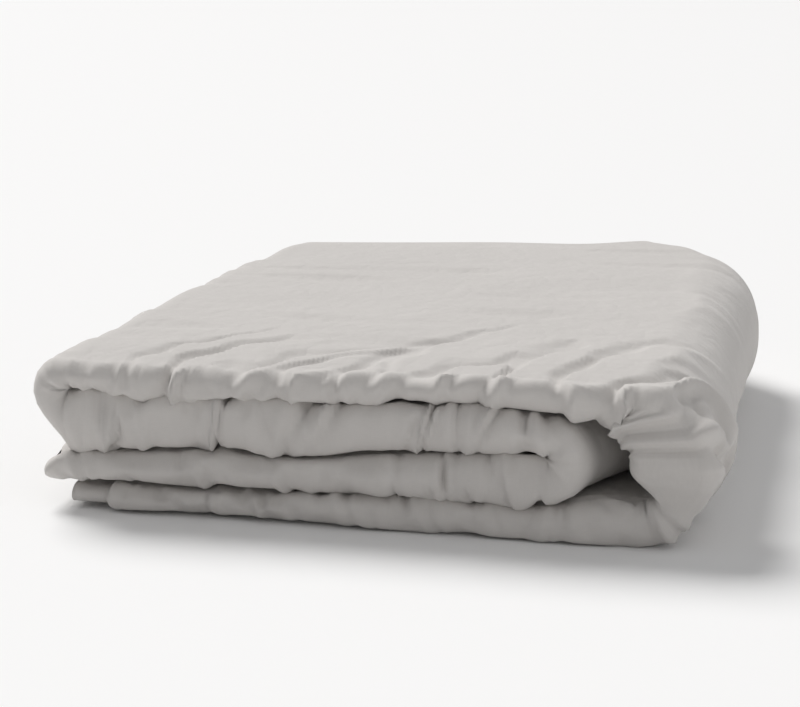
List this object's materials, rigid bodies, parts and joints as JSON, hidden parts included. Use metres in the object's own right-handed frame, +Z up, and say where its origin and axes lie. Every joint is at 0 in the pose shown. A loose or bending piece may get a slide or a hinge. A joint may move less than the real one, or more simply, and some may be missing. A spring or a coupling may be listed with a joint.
{
  "type": "folded duvet",
  "caption": "Single duvet in a buttoned cotton cover, folded into a flat rectangular stack; the last fold opens like a book.",
  "frame": {"origin": "middle of the folded stack's footprint, on the surface it lies on", "axes": "+X along the front edge from the open ends towards the outer fold, +Y from the folded front edge to the open side seams, +Z up"},
  "size_m": [0.53, 0.7486, 0.1241],
  "materials": {
    "cover_cotton": "plain-woven washed cotton, matt, warm light grey",
    "casing_cotton": "fine down-proof cotton, unbleached white",
    "hollow_fibre": "lofted fibre batting",
    "cotton_tape": "woven tape and piping",
    "button_plastic": "satin, four-hole",
    "sewing_thread": "spun thread",
    "label_satin": "blank satin tape"
  },
  "bodies": {
    "lower_half": {"cover_face_bottom": "cover_cotton", "cover_reverse_bottom": "cover_cotton", "casing_face_bottom": "casing_cotton", "casing_reverse_bottom": "casing_cotton", "batting_bottom": "hollow_fibre", "cover_face_tucked": "cover_cotton", "cover_reverse_tucked": "cover_cotton", "casing_face_tucked": "casing_cotton", "casing_reverse_tucked": "casing_cotton", "batting_tucked": "hollow_fibre", "insert_piping_bottom": "cotton_tape", "insert_piping_tucked": "cotton_tape", "foot_hem_face": "cover_cotton", "foot_hem_reverse": "cover_cotton", "button_1": "button_plastic", "button_1_shank": "sewing_thread", "button_2": "button_plastic", "button_2_shank": "sewing_thread", "button_3": "button_plastic", "button_3_shank": "sewing_thread", "button_4": "button_plastic", "button_4_shank": "sewing_thread", "button_5": "button_plastic", "button_5_shank": "sewing_thread", "button_6": "button_plastic", "button_6_shank": "sewing_thread", "foot_loop_outer": "cotton_tape", "foot_tie_outer": "cotton_tape", "foot_loop_inner": "cotton_tape", "foot_tie_inner": "cotton_tape", "head_loop_outer": "cotton_tape", "head_tie_outer": "cotton_tape", "head_loop_inner": "cotton_tape", "head_tie_inner": "cotton_tape", "care_label": "label_satin"},
    "upper_half": {"cover_face_top": "cover_cotton", "cover_reverse_top": "cover_cotton", "casing_face_top": "casing_cotton", "casing_reverse_top": "casing_cotton", "batting_top": "hollow_fibre", "insert_piping_top_outer": "cotton_tape", "insert_piping_top_inner": "cotton_tape"}
  },
  "joints": [
    {"name": "book_fold", "type": "hinge", "parent": "lower_half", "child": "upper_half", "pos_m": [0.26525, 0, 0.06205], "axis": [0, 1, 0], "range_deg": [0, 180]}
  ]
}
